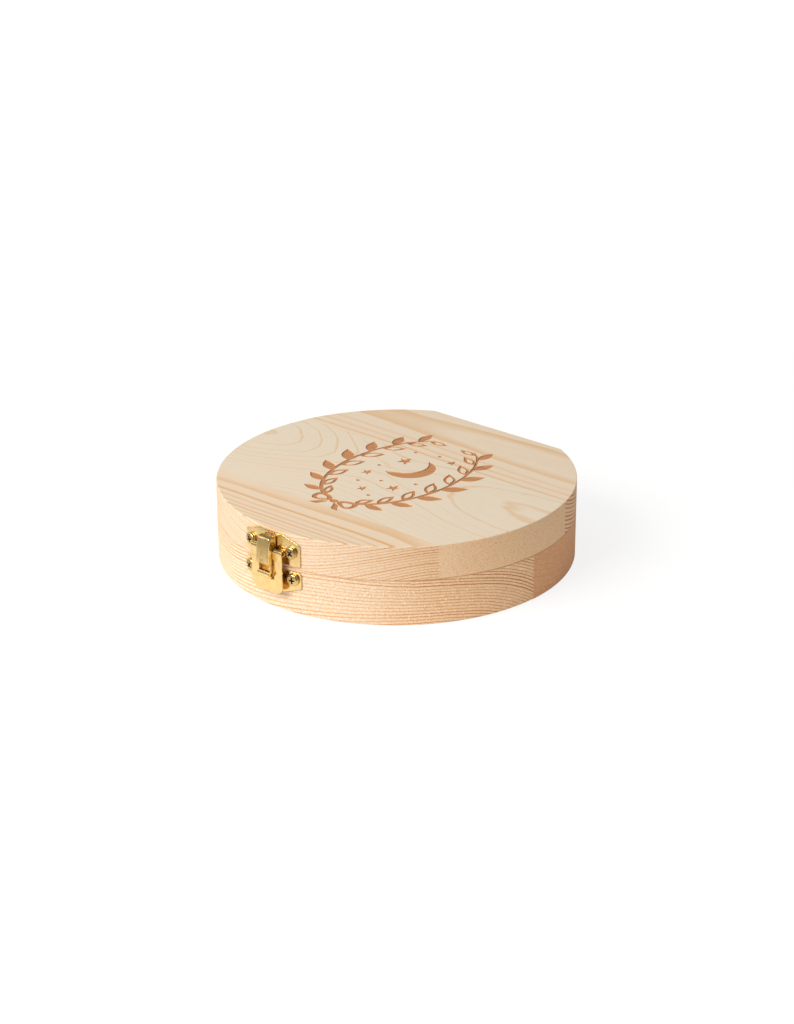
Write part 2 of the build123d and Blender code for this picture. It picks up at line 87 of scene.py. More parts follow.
# Carving: the oval that the two sprigs follow, and the leaves' number and size
OVAL_MIDDLE, OVAL_HALF_WIDTH, OVAL_HALF_HEIGHT = 2.0, 21.0, 33.0
SPRIG_START, SPRIG_SPAN, SPRIG_STEPS = -82, 150, 16
LEAF_LENGTH, LEAF_SHORTENING, LEAF_TILT = 10.2, 2.8, 38
# Stars as (x, y, reach), and dots as (x, y)
STARS = ((-5.0, 10.5, 3.3), (-8.5, -5.5, 2.4), (7.8, -10.5, 2.8), (0.0, -17.5, 2.2), (8.5, 19.5, 2.2))
DOTS = ((-9.5, 2.0), (0.4, -8.2), (-6.0, -13.0), (5.5, -20.5), (11.5, -3.0), (1.5, 21.5), (-7.5, 19.0))
DOT_RADIUS = 0.75

# Half the floor's width in millimetres, how strongly it shows its shadow to the camera, how far it is
# lifted towards white, and how bright the studio's walls are as light and in reflections
FLOOR_HALF = 12000
FLOOR_SHADOW = 0.25
FLOOR_LIFT = 0.78
WORLD_LIGHT = 0.52
WORLD_GLOSS = 0.2

# Camera: its direction and roll in degrees, its distance and offsets in millimetres, and its lens
CAMERA_AZIMUTH, CAMERA_ELEVATION, CAMERA_ROLL = 41.333, 23.339, -0.285
CAMERA_DISTANCE, CAMERA_ASIDE, CAMERA_LIFT = 810.432, 0.088, 12.381
LENS, SENSOR = 81.61, 36

# Lights: place and size in metres, power in watts and colour
LIT_POINT = (0, 0, 0.015)
LIGHTS = (
    ("key light", (-0.19, -0.87, 0.66), (0.8, 0.6), 11.6, (1.0, 0.98, 0.95)),
    ("side light", (-1.0, -0.3, 0.45), (0.8, 0.8), 2.8, (1.0, 1.0, 1.0)),
)

# Grain of each stave: its glue lines, where the heart of the tree lies (Y, Z), the wave of that heart along
# X (height, length, crest, share of it right of the crest), how much the rings wander, the width of a year
# ring, where in a ring the late wood starts, how strongly it shows on the faces and on the round wall, how
# far the wood leans to the pinkish and the brown tint, and how much its sawn wall is flecked
STAVES = {
    "lid_front_stave": dict(
        low=-RADIUS - 1, high=-36.6, heart=(-37.5, -11.0), wave=(0.2, 190.0, 10.0, 1.0), wander=0.3,
        ring=0.95, onset=0.45, late=0.9, wall=0.9, tint=0.9, brown=0.0, dashes=0.12, seed=3.0),
    "lid_middle_stave": dict(
        low=-36.6, high=18.0, heart=(1.0, -32.0), wave=(3.0, 117.0, -5.0, 0.45), wander=1.0, ring=1.2,
        onset=0.80, late=0.42, wall=0.2, tint=0.0, brown=0.05, dashes=0.25, seed=17.0),
    "lid_back_stave": dict(
        low=18.0, high=FLAT, heart=(42.0, 78.0), wave=(0.4, 170.0, 40.0, 1.0), wander=0.45, ring=1.35,
        onset=0.45, late=0.55, wall=1.7, tint=0.5, brown=0.0, dashes=0.1, seed=31.0),
    "base_front_stave": dict(
        low=-RADIUS - 1, high=-2.0, heart=(-32.0, -33.0), wave=(5.3, 110.0, 62.0, 1.0), wander=0.6, ring=1.05,
        onset=0.48, late=0.55, wall=1.35, tint=0.9, brown=0.1, dashes=0.7, seed=47.0),
    "base_back_stave": dict(
        low=-2.0, high=FLAT, heart=(20.0, 70.0), wave=(0.8, 140.0, 30.0, 1.0), wander=1.0, ring=1.9,
        onset=0.6, late=0.4, wall=0.15, tint=1.0, brown=0.95, dashes=0.3, seed=59.0),
}
# Where in a year ring its late wood is darkest
RING_PEAK = 0.94
# Pale dashes that the saw leaves in the wall
DASH_COLOUR = (0.98, 0.86, 0.66)

# Finishes of the brass: the axis of their lines, how far they are dulled in patches, and their depth of
# colour
FINISHES = {
    "polished brass X": (0, 0.35, 1.0),
    "polished brass Z": (2, 0.35, 1.0),
    # The claw is dulled all over, more than the other polished brass
    "claw brass": (2, 1.0, 1.06),
    "screw brass": (1, 0.8, 0.75),
    # Painted shade for the screws' recesses
    "recess shade brass": (2, 0.9, 0.3),
}
# What dull patches keep of the red, green and blue of bright brass
DULLING = (0.72, 0.62, 0.5)


def length_setting(name, description, millimetres):
    """A size that a user may change."""
    return bpy.props.FloatProperty(name=name, description=description, default=millimetres * MM,
                                   unit="LENGTH")


def colour_setting(name, description, default):
    """A colour that a user may change."""
    return bpy.props.FloatVectorProperty(name=name, description=description, subtype="COLOR", size=3, min=0,
                                         max=1, default=default)


class BoxSizes(bpy.types.PropertyGroup):
    """Sizes of the dressed box that a user would change."""

    rim_radius: length_setting("Rim radius", "Rounding of the outer rims", 0.4)
    parting_radius: length_setting("Parting radius", "Rounding of the rims where lid and base meet", 0.16)
    carving_depth: length_setting("Carving depth", "Depth of the engraved wreath", 0.3)
    groove_width: length_setting("Groove width", "Width of an engraved line", 1.25)
    edge_radius: length_setting("Sheet edge radius", "Rounding of the brass sheet's edges", 0.14)


class BoxColours(bpy.types.PropertyGroup):
    """Colours of the wood and the brass."""

    early_wood: colour_setting("Early wood", "Pale part of a year ring", (0.735, 0.628, 0.485))
    late_wood: colour_setting("Late wood", "Dark line of a year ring", (0.68, 0.36, 0.12))
    tinted_wood: colour_setting("Tinted wood", "Early wood of the pinkish staves", (0.755, 0.593, 0.428))
    end_grain: colour_setting("End grain", "Wood cut across the grain", (0.87, 0.56, 0.295))
    late_end: colour_setting("Late wood on ends", "Dark line of a year ring round the wall",
                             (0.48, 0.155, 0.035))
    brown_wood: colour_setting("Brown wood", "End grain of the darkest stave", (0.68, 0.335, 0.15))
    engraving: colour_setting("Engraving", "Scorched floor of the carving", (0.53, 0.24, 0.10))
    brass: colour_setting("Brass", "Polished brass", (0.89, 0.645, 0.28))


def sizes():
    """The scene's settable sizes, in metres."""
    return bpy.context.scene.keepsake_sizes


def colours():
    """The scene's settable colours."""
    return bpy.context.scene.keepsake_colours


# Mesh helpers, in millimetres until a piece is finished

def face_of(bm, points):
    """Adds one flat face through the points."""
    return bm.faces.new([bm.verts.new(point) for point in points])


def push(bm, faces, vector):
    """Extrudes the faces along a vector and closes the shell."""
    grown = bmesh.ops.extrude_face_region(bm, geom=faces, use_keep_orig=True)
    moved = [item for item in grown["geom"] if isinstance(item, bmesh.types.BMVert)]
    bmesh.ops.translate(bm, verts=moved, vec=vector)
    bmesh.ops.recalc_face_normals(bm, faces=bm.faces)


def round_edges(bm, edges, radius, segments=2, clamp=True):
    """Rounds the edges."""
    bmesh.ops.bevel(bm, geom=edges, offset=radius, offset_type="OFFSET", segments=segments, profile=0.5,
                    affect="EDGES", clamp_overlap=clamp, material=-1)


def round_corners(bm, verts, radius, segments):
    """Rounds the corners of a flat face or of an open sheet."""
    bmesh.ops.bevel(bm, geom=verts, offset=radius, segments=segments, profile=0.5, affect="VERTICES",
                    material=-1)


def to_mesh(bm, name):
    """Turns a bmesh in millimetres into a mesh in metres."""
    bmesh.ops.scale(bm, verts=bm.verts, vec=(MM, MM, MM))
    mesh = bpy.data.meshes.new(name)
    bm.to_mesh(mesh)
    bm.free()
    return mesh


def new_object(name, data):
    """Adds an object for a mesh, a curve, a light or a camera to the scene."""
    obj = bpy.data.objects.new(name, data)
    bpy.context.scene.collection.objects.link(obj)
    return obj


def cutter(bm):
    """An object to cut with, from a bmesh in millimetres."""
    return new_object("cutter", to_mesh(bm, "cutter"))


def cut_away(obj, cutters):
    """Cuts the cutters out of an object for good and deletes them."""
    group = bpy.data.collections.new("cutters")
    bpy.context.scene.collection.children.link(group)
    for tool in cutters:
        bpy.context.scene.collection.objects.unlink(tool)
        group.objects.link(tool)
    cut = obj.modifiers.new("cut", "BOOLEAN")
    cut.operation = "DIFFERENCE"
    cut.solver = "EXACT"
    cut.operand_type = "COLLECTION"
    cut.collection = group
    bpy.context.view_layer.update()
    evaluated = obj.evaluated_get(bpy.context.evaluated_depsgraph_get())
    result = bpy.data.meshes.new_from_object(evaluated)
    old = obj.data
    obj.modifiers.clear()
    obj.data = result
    bpy.data.meshes.remove(old)
    for tool in cutters:
        bpy.data.objects.remove(tool, do_unlink=True)
    bpy.data.collections.remove(group)
    if not obj.data.polygons:
        raise RuntimeError(f"cutting {obj.name} left nothing")


def finish_piece(obj, materials, body, node_name, sharp):
    """Smooths a piece, gives it its materials and says what it rides on and stands for."""
    for material in materials:
        obj.data.materials.append(material)
    for polygon in obj.data.polygons:
        polygon.use_smooth = True
    obj.data.set_sharp_from_angle(angle=radians(sharp))
    weighted = obj.modifiers.new("weighted normals", "WEIGHTED_NORMAL")
    weighted.keep_sharp = True
    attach(obj, body)
    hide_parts(node_name)


def finish_brass(obj, body, node_name, *finishes):
    """Finishes a piece of brass."""
    finish_piece(obj, [brass(name) for name in finishes], body, node_name, METAL_SHARP)


def turned(profile, steps):
    """A solid turned about Z from a profile of (radius, height) points that starts and ends on the axis."""
    bm = bmesh.new()
    verts = [bm.verts.new((radius, 0, height)) for radius, height in profile]
    edges = [bm.edges.new(pair) for pair in zip(verts, verts[1:])]
    bmesh.ops.spin(bm, geom=verts + edges, cent=(0, 0, 0), axis=(0, 0, 1), angle=2 * pi, steps=steps,
                   use_merge=True)
    bmesh.ops.remove_doubles(bm, verts=bm.verts, dist=1e-5)
    bmesh.ops.recalc_face_normals(bm, faces=bm.faces)
    return bm


def add_into(target, source, matrix=Matrix()):
    """Adds the source's mesh to the target, placed by a matrix, and frees the source."""
    source.transform(matrix)
    scratch = bpy.data.meshes.new("scratch")
    source.to_mesh(scratch)
    source.free()
    target.from_mesh(scratch)
    bpy.data.meshes.remove(scratch)


# Materials

def new_material(name):
    """A material, its node tree and its shader."""
    material = bpy.data.materials.new(name)
    material.use_nodes = True
    return material, material.node_tree, material.node_tree.nodes["Principled BSDF"]


def node(tree, kind, inputs=None, **settings):
    """Adds a node, sets its attributes and its inputs: a value, or a socket to link from."""
    made = tree.nodes.new(kind)
    for key, value in settings.items():
        setattr(made, key, value)
    for key, value in (inputs or {}).items():
        if isinstance(value, bpy.types.NodeSocket):
            tree.links.new(value, made.inputs[key])
        else:
            made.inputs[key].default_value = value
    return made


def calc(tree, operation, first, second=0.0, third=0.0, clamp=False):
    """The result of a Math node."""
    return node(tree, "ShaderNodeMath", {0: first, 1: second, 2: third}, operation=operation,
                use_clamp=clamp).outputs[0]


def times(tree, first, second):
    """The product of two values."""
    return calc(tree, "MULTIPLY", first, second)


def scaled(tree, value, scale, offset):
    """A value times a scale, plus an offset."""
    return calc(tree, "MULTIPLY_ADD", value, scale, offset)


def squares(tree, first, second):
    """The sum of two squares."""
    return scaled(tree, first, first, times(tree, second, second))


def blend_colours(tree, factor, first, second, kind="MIX"):
    """The result of mixing two colours."""
    mixed = node(tree, "ShaderNodeMix", data_type="RGBA", blend_type=kind, clamp_factor=True)
    for index, value in ((0, factor), (6, first), (7, second)):
        if isinstance(value, bpy.types.NodeSocket):
            tree.links.new(value, mixed.inputs[index])
        else:
            mixed.inputs[index].default_value = value if index == 0 else (*value[:3], 1.0)
    return mixed.outputs[2]


def smooth_step(tree, value, low, high, start=0.0, end=1.0):
    """Maps a value from one range to another with soft ends."""
    return node(tree, "ShaderNodeMapRange", {0: value, 1: low, 2: high, 3: start, 4: end},
                interpolation_type="SMOOTHSTEP").outputs[0]


def surface(tree):
    """The place in the object in millimetres, and the surface's direction."""
    coords = node(tree, "ShaderNodeTexCoord").outputs
    place = node(tree, "ShaderNodeVectorMath", {0: coords["Object"], "Scale": 1 / MM}, operation="SCALE")
    return place.outputs[0], coords["Normal"]


def split(tree, vector):
    """The three parts of a vector."""
    return node(tree, "ShaderNodeSeparateXYZ", {0: vector}).outputs


def joined(tree, first, second):
    """A vector of two values."""
    return node(tree, "ShaderNodeCombineXYZ", {0: first, 1: second}).outputs[0]


def grey(tree, value):
    """A grey as bright as the value."""
    return node(tree, "ShaderNodeCombineColor", {0: value, 1: value, 2: value}).outputs[0]


def noise(tree, vector, scale, detail=2.0, roughness=0.5):
    """A noise value at a place."""
    return node(tree, "ShaderNodeTexNoise", {"Vector": vector, "Scale": scale, "Detail": detail,
                "Roughness": roughness}).outputs["Fac"]


def streaks(tree, place, scale, offset=(0, 0, 0), detail=2.0, roughness=0.5):
    """A noise value from coordinates that are scaled along each axis and moved."""
    moved = node(tree, "ShaderNodeMapping", {"Vector": place, "Location": offset, "Scale": scale})
    return noise(tree, moved.outputs[0], 1.0, detail, roughness)


def emboss(tree, shader, relief, strength, distance):
    """Shows a relief as bumps."""
    bump = node(tree, "ShaderNodeBump", {"Strength": strength, "Distance": distance, "Height": relief})
    tree.links.new(bump.outputs[0], shader.inputs["Normal"])


def pine(name, stave):
    """Solid pine whose year rings run round the tree's heart, so that top, sides and ends agree."""
    tone = colours()
    material, tree, shader = new_material(name)
    place, normal = surface(tree)
    x, y, z = split(tree, place)
    _, normal_y, normal_z = split(tree, normal)
    seed = stave["seed"]
    upright = smooth_step(tree, calc(tree, "ABSOLUTE", normal_z), 0.3, 0.8, 1.0, 0.0)

    # The rings bend slowly along the stave and waver a little across it
    slow = streaks(tree, place, (0.012, 0.03, 0.03), (seed, seed * 0.7, 0))
    ripple = streaks(tree, place, (0.09, 0.3, 0.3), (0, seed, seed), 3.0)
    bend = calc(tree, "ADD", scaled(tree, slow, 2.6, -1.3), scaled(tree, ripple, 0.5, -0.25))
    bend = times(tree, bend, stave["wander"])

    # The heart of the tree rises and sinks in a long wave along the stave
    height, wave_length, crest, right = stave["wave"]
    heart_y, heart_z = stave["heart"]
    turn = scaled(tree, x, 2 * pi / wave_length, -crest * 2 * pi / wave_length)
    sag = scaled(tree, calc(tree, "COSINE", turn), height, -height)
    sag = times(tree, sag, smooth_step(tree, x, crest, crest + 25, 1.0, right))
    away_y = calc(tree, "SUBTRACT", y, heart_y)
    away_z = calc(tree, "ADD", sag, calc(tree, "SUBTRACT", z, heart_z - height))
    reach = calc(tree, "ADD", calc(tree, "SQRT", squares(tree, away_y, away_z)), bend)

    # Year rings differ in width, and each fades from early to late wood and ends sharply
    uneven = noise(tree, joined(tree, reach, seed), 0.45, 1.0)
    turns = scaled(tree, uneven, 0.65, calc(tree, "DIVIDE", reach, stave["ring"]))
    phase = calc(tree, "FRACT", turns)
    ring = times(tree, smooth_step(tree, phase, stave["onset"], RING_PEAK),
                 smooth_step(tree, phase, RING_PEAK, 1.0, 1.0, 0.0))
    faint = smooth_step(tree, calc(tree, "FRACT", times(tree, turns, 3.0)), 0.6, 0.95, 0.0, 0.16)

    # Rings are strong in one place and weak in the next, and so is one ring beside another
    which = noise(tree, joined(tree, calc(tree, "FLOOR", turns), seed), 0.73, 0.0)
    patch = streaks(tree, place, (0.012, 0.05, 0.05), (seed * 2, 0, 0))
    ring = times(tree, ring, smooth_step(tree, patch, 0.25, 0.7, 0.65, 1.0))
    ring = times(tree, ring, smooth_step(tree, which, 0.3, 0.7, 0.6, 1.15))
    ring = calc(tree, "MAXIMUM", ring, times(tree, faint, patch))

    # Fibres, and short dark pores along the grain
    fibre = streaks(tree, place, (0.06, 4.0, 4.0), (seed, 0, 0), 3.0, 0.6)
    pores = smooth_step(tree, streaks(tree, place, (0.22, 5.5, 5.5), (0, seed, 0), 1.0), 0.64, 0.78)

    # Ends of the grain drink more and show a deeper, speckled colour
    end = smooth_step(tree, squares(tree, normal_y, normal_z), 0.1, 0.95, 1.0, 0.0)
    fleck = streaks(tree, place, (2.2, 2.2, 2.2), detail=3.0, roughness=0.7)
    early = blend_colours(tree, stave["tint"], tone.early_wood, tone.tinted_wood)
    blush = smooth_step(tree, streaks(tree, place, (0.02, 0.07, 0.07), (seed, 4, 0)), 0.4, 0.75)
    early = blend_colours(tree, times(tree, blush, 0.35), early, tone.tinted_wood)
    deeper = times(tree, end, smooth_step(tree, fleck, 0.3, 0.7, 0.72, 0.98))
    early = blend_colours(tree, deeper, early, tone.end_grain)
    deepest = times(tree, upright, scaled(tree, end, 0.6, 0.4))
    early = blend_colours(tree, times(tree, deepest, stave["brown"]), early, tone.brown_wood)

    # Late wood shows as orange lines on the faces and as darker brown ones round the wall
    strength = times(tree, ring, scaled(tree, upright, stave["wall"] - stave["late"], stave["late"]))
    browned = times(tree, upright, scaled(tree, end, 0.7, 0.3))
    late = blend_colours(tree, browned, tone.late_wood, tone.late_end)
    colour = blend_colours(tree, strength, early, late)

    # The sawn wall is speckled with torn pores, and with pale dashes between the rings
    torn = streaks(tree, place, (1.6, 1.6, 4.5), (0, 0, seed), 2.0, 0.6)
    torn = times(tree, smooth_step(tree, torn, 0.48, 0.72, 0.0, 0.5), upright)
    colour = blend_colours(tree, torn, colour, tone.late_end)
    dashes = smooth_step(tree, streaks(tree, place, (2.4, 2.4, 2.8), (seed, 3, 0), 1.0), 0.54, 0.68)
    dashes = times(tree, dashes, times(tree, upright, stave["dashes"]))
    dashes = times(tree, dashes, calc(tree, "SUBTRACT", 1.0, ring, clamp=True))
    colour = blend_colours(tree, dashes, colour, DASH_COLOUR)
    colour = blend_colours(tree, 1.0, colour, grey(tree, scaled(tree, fibre, 0.16, 0.92)), "MULTIPLY")
    colour = blend_colours(tree, times(tree, pores, 0.16), colour, tone.late_wood)

    # Painted shade darkens the seam between lid and base, in the late wood's brown, where its gap lies in
    # shade
    seam_shade = calc(tree, "ABSOLUTE", calc(tree, "SUBTRACT", z, PARTING))
    seam_shade = smooth_step(tree, seam_shade, 0.06, 0.28, 0.95, 0.0)
    radial = calc(tree, "SQRT", squares(tree, x, y))
    rim = calc(tree, "MAXIMUM", calc(tree, "GREATER_THAN", radial, RADIUS - 1),
               calc(tree, "GREATER_THAN", y, FLAT - 1))
    seam_shade = times(tree, seam_shade, times(tree, rim, upright))
    colour = blend_colours(tree, seam_shade, colour, tone.late_end)
    if name.startswith("lid"):
        # Scorched floor and cleaner orange flanks of the engraving
        deep = times(tree, calc(tree, "LESS_THAN", z, TOP - 0.1), calc(tree, "GREATER_THAN", z, TOP - 1.2))
        deep = times(tree, deep, calc(tree, "LESS_THAN", radial, RADIUS - 7))
        deep = times(tree, deep, calc(tree, "LESS_THAN", y, FLAT - 5))
        burnt = blend_colours(tree, times(tree, ring, 0.5), tone.engraving,
                              tuple(value * 0.6 for value in tone.engraving))
        flank = blend_colours(tree, 0.45, tone.late_wood, tone.early_wood)
        colour = blend_colours(tree, deep, colour, blend_colours(tree, upright, burnt, flank))
    tree.links.new(colour, shader.inputs["Base Color"])

    # Satin finish: late wood is glossier, pores and fibres give it a faint grain to the touch
    rough = calc(tree, "ADD", scaled(tree, ring, -0.08, 0.55), times(tree, fibre, 0.12))
    tree.links.new(rough, shader.inputs["Roughness"])
    relief = scaled(tree, fibre, 0.5, times(tree, pores, -1.0))
    emboss(tree, shader, scaled(tree, ring, 0.5, relief), 0.2, 0.05 * MM)
    shader.inputs["Specular IOR Level"].default_value = 0.3
    return material


def brass(name):
    """Tumbled brass with fine lines along one axis, soft waves and dull patches, made once."""
    if name in bpy.data.materials:
        return bpy.data.materials[name]
    grain_axis, dulled_share, depth = FINISHES[name]
    material, tree, shader = new_material(name)
    shader.inputs["Metallic"].default_value = 1.0
    place, _ = surface(tree)
    scale = [3.2, 3.2, 3.2]
    scale[grain_axis] = 0.22
    lines = streaks(tree, place, scale, roughness=0.6)
    patches = streaks(tree, place, (0.5, 0.5, 0.5), (5, 2, 7), 3.0, 0.6)
    waves = streaks(tree, place, (0.3, 0.3, 0.3), (1, 9, 3), 1.0)
    bright = tuple(value * depth for value in colours().brass)
    dull = tuple(value * kept for value, kept in zip(bright, DULLING))
    dull_patches = smooth_step(tree, patches, 0.35, 0.75, 0.0, dulled_share)
    tree.links.new(blend_colours(tree, dull_patches, bright, dull), shader.inputs["Base Color"])
    rough = scaled(tree, dull_patches, 0.2, scaled(tree, lines, 0.1, 0.14))
    tree.links.new(rough, shader.inputs["Roughness"])
    emboss(tree, shader, scaled(tree, waves, 2.5, times(tree, lines, 0.1)), 0.35, 0.03 * MM)
    # A thin lacquer keeps the highlights white
    shader.inputs["Coat Weight"].default_value = 0.35 if depth == 1.0 else 0.1
    shader.inputs["Coat Roughness"].default_value = 0.12
    return material


# Wood

def stave_solid(name, bottom, height, outer_end, parting_end):
    """One stave of the lid or the base: a round slab with a flat side between two glue lines, with rounded
    rims. The ends are the heights of the outer rim and of the rim at the parting line."""
    stave = STAVES[name]
    bm = bmesh.new()
    bmesh.ops.create_circle(bm, cap_ends=True, radius=RADIUS, segments=RIM_STEPS)
    bmesh.ops.translate(bm, verts=bm.verts, vec=(0, 0, bottom))
    for position, direction in ((FLAT, 1), (stave["high"], 1), (stave["low"], -1)):
        bmesh.ops.bisect_plane(bm, geom=bm.verts[:] + bm.edges[:] + bm.faces[:], dist=1e-5,
                               plane_co=(0, position, 0), plane_no=(0, direction, 0), clear_outer=True)
    push(bm, bm.faces[:], (0, 0, height))
    glue = [line for line in (stave["low"], stave["high"]) if abs(line) < FLAT - 1]
    for level, radius in ((outer_end, sizes().rim_radius / MM), (parting_end, sizes().parting_radius / MM)):
        rim = [edge for edge in bm.edges
               if all(abs(vert.co.z - level) < 1e-4 for vert in edge.verts)
               and not any(all(abs(vert.co.y - line) < 1e-4 for vert in edge.verts) for line in glue)]
        round_edges(bm, rim, radius, 3)
    return bm


def pocket_cutters():
    """Cutters for the twenty tooth pockets and the keepsake recess, with eased mouths."""
    cutters = []
    places = []
    for start in (0, 180):
        for number in range(POCKETS_PER_ARCH):
            angle = radians(start + (180 - ARCH_SPAN) / 2 + number * ARCH_SPAN / (POCKETS_PER_ARCH - 1))
            places.append((POCKET_RING * cos(angle), POCKET_RING * sin(angle) - POCKET_SETBACK,
                           POCKET_RADIUS, POCKET_DEPTH))
    places.append((0, -POCKET_SETBACK, RECESS_RADIUS, RECESS_DEPTH))
    for x, y, radius, depth in places:
        floor = PARTING - depth
        ease = POCKET_EASE
        profile = [(0, floor), (radius - ease, floor), (radius - 0.3 * ease, floor + 0.3 * ease),
                   (radius, floor + ease), (radius, PARTING - ease),
                   (radius + 0.3 * ease, PARTING - 0.3 * ease), (radius + ease, PARTING),
                   (radius + ease, PARTING + 1), (0, PARTING + 1)]
        bm = turned(profile, 96 if radius > 10 else 48)
        bmesh.ops.translate(bm, verts=bm.verts, vec=(x, y, 0))
        cutters.append(cutter(bm))
    return cutters


def outline(points):
    """A closed outline: smooth through (x, y) points, with a corner at each (x, y, True) point."""
    return [(point[0], point[1], len(point) > 2) for point in points]


def engraver(outlines):
    """A cutter that sinks the area between closed outlines into the top of the lid."""
    depth = sizes().carving_depth
    curve = bpy.data.curves.new("engraving", "CURVE")
    curve.dimensions = "2D"
    curve.fill_mode = "BOTH"
    curve.resolution_u = 6
    curve.extrude = depth
    for points in outlines:
        spline = curve.splines.new("BEZIER")
        spline.bezier_points.add(len(points) - 1)
        spline.use_cyclic_u = True
        for knot, (x, y, _) in zip(spline.bezier_points, points):
            knot.co = (x * MM, y * MM, 0)
        for knot, (_, _, corner) in zip(spline.bezier_points, points):
            kind = "VECTOR" if corner else "AUTO"
            knot.handle_left_type = kind
            knot.handle_right_type = kind
    flat = new_object("flat engraving", curve)
    bpy.context.view_layer.update()
    mesh = bpy.data.meshes.new_from_object(flat.evaluated_get(bpy.context.evaluated_depsgraph_get()))
    bpy.data.objects.remove(flat)
    bpy.data.curves.remove(curve)
    bm = bmesh.new()
    bm.from_mesh(mesh)
    bmesh.ops.remove_doubles(bm, verts=bm.verts, dist=1e-7)
    bmesh.ops.translate(bm, verts=bm.verts, vec=(0, 0, TOP * MM))
    bmesh.ops.recalc_face_normals(bm, faces=bm.faces)
    bm.to_mesh(mesh)
    bm.free()
    return new_object("engraving cutter", mesh)


def brush(points, widths):
    """Outline of a line drawn along points, as wide at each point as its width says, with pointed ends."""
    left, right = [], []
    last = len(points) - 1
    for number, ((x, y), width) in enumerate(zip(points, widths)):
        before, after = points[max(number - 1, 0)], points[min(number + 1, last)]
        dx, dy = after[0] - before[0], after[1] - before[1]
        length = hypot(dx, dy)
        across = (-dy / length * width / 2, dx / length * width / 2)
        left.append((x + across[0], y + across[1]))
        right.append((x - across[0], y - across[1]))
    start = [(points[0][0], points[0][1], True)]
    end = [(points[-1][0], points[-1][1], True)]
    return outline(start + left[1:-1] + end + right[-2:0:-1])


def leaf(x, y, angle, length, width):
    """Outline of a pointed leaf that grows from a place at an angle."""
    shape = ((0, 0, True), (0.22, 0.36), (0.5, 0.5), (0.78, 0.30), (1, 0, True), (0.78, -0.30),
             (0.5, -0.5), (0.22, -0.36))
    turn = radians(angle)
    points = []
    for knot in shape:
        along, across = knot[0] * length, knot[1] * width
        place = (x + along * cos(turn) - across * sin(turn), y + along * sin(turn) + across * cos(turn))
        points.append(place + tuple(knot[2:]))
    return outline(points)


def star(x, y, reach, points=5, turn=90.0):
    """Outline of a star with slightly hollow sides."""
    knots = []
    for number in range(2 * points):
        radius = reach if number % 2 == 0 else reach * 0.42
        angle = radians(turn + number * 180 / points)
        knots.append((x + radius * cos(angle), y + radius * sin(angle), True))
    return outline(knots)


def disc(x, y, radius, knots=8):
    """Outline of a round dot."""
    return outline([(x + radius * cos(2 * pi * number / knots), y + radius * sin(2 * pi * number / knots))
                    for number in range(knots)])


def mirrored(points):
    """The same outline on the other side of the middle."""
    return [(-x, y, corner) for x, y, corner in points]


def wreath_cutters():
    """Cutters for the engraved ornament: an open oval wreath of two leafy sprigs tied with a bow, round a
    crescent and a scatter of stars and dots."""
    line = sizes().groove_width / MM
    sprig = []
    for number in range(SPRIG_STEPS + 1):
        angle = radians(SPRIG_START + SPRIG_SPAN * number / SPRIG_STEPS)
        sprig.append((OVAL_HALF_WIDTH * cos(angle), OVAL_MIDDLE + OVAL_HALF_HEIGHT * sin(angle)))
    thickness = [line * (1.25 - 0.6 * number / SPRIG_STEPS) for number in range(SPRIG_STEPS + 1)]
    shapes = [[brush(sprig, thickness)]]
    for number in range(1, SPRIG_STEPS):
        x, y = sprig[number]
        before, after = sprig[number - 1], sprig[number + 1]
        heading = atan2(after[1] - before[1], after[0] - before[0]) * 180 / pi
        outward = number % 2 == 0
        angle = heading + (-LEAF_TILT if outward else LEAF_TILT)
        size = LEAF_LENGTH - LEAF_SHORTENING * abs(number - SPRIG_STEPS / 2) / (SPRIG_STEPS / 2)
        width = size * 0.44
        ahead = (cos(radians(angle)), sin(radians(angle)))
        root = (x + 0.35 * line * ahead[0], y + 0.35 * line * ahead[1])
        shape = [leaf(*root, angle, size, width)]
        if not outward:
            # The inner leaves are only outlined
            inset = 0.85 * line
            inner = (root[0] + 1.9 * inset * ahead[0], root[1] + 1.9 * inset * ahead[1])
            shape.append(leaf(*inner, angle, size - 4.0 * inset, width - 2.0 * inset))
        shapes.append(shape)
    # The bow that ties the stems, with two hanging tails
    bow = OVAL_MIDDLE - OVAL_HALF_HEIGHT - 0.6
    loop = [(0.9, bow, True), (4.2, bow + 2.9), (8.2, bow + 2.7), (9.2, bow - 0.3), (7.6, bow - 2.7),
            (4.0, bow - 2.1)]
    eye = [(3.4, bow + 0.1, True), (5.2, bow + 1.3), (7.0, bow + 1.2), (7.5, bow - 0.2), (6.6, bow - 1.3),
           (5.0, bow - 1.0)]
    tail = [(0.8, bow - 1.0), (2.8, bow - 2.6), (4.2, bow - 4.6), (6.6, bow - 5.8)]
    shapes.append([outline(loop), outline(eye)])
    shapes.append([brush(tail, [0.4, 1.5 * line, 1.7 * line, 0.3])])
    cutters = []
    for outlines in shapes:
        cutters.append(engraver(outlines))
        cutters.append(engraver([mirrored(points) for points in outlines]))
    single = [disc(0, bow - 0.1, 1.5)]
    # Crescent, with its horns to the upper left
    moon = []
    for number in range(9):
        angle = radians(-125 + 210 * number / 8)
        horn = (True,) if number in (0, 8) else ()
        moon.append((0.5 + 9.0 * cos(angle), 6.5 + 9.0 * sin(angle)) + horn)
    for number in range(1, 6):
        angle = radians(62 - 166 * number / 6)
        moon.append((-2.6 + 7.6 * cos(angle), 8.4 + 7.6 * sin(angle)))
    single.append(outline(moon))
    for x, y, reach in STARS:
        single.append(star(x, y, reach))
    for x, y in DOTS:
        single.append(disc(x, y, DOT_RADIUS))
    return cutters + [engraver([points]) for points in single]


def make_staves(names, body, bottom, top, outer_end, cutters):
    """Makes the staves of the lid or the base, each cut by its own set of cutters."""
    for name in names:
        bm = stave_solid(name, bottom, top - bottom, outer_end, PARTING)
        obj = new_object(name.replace("_", "-"), to_mesh(bm, name))
        cut_away(obj, cutters())
        finish_piece(obj, [pine(name, STAVES[name])], body, name, WOOD_SHARP)


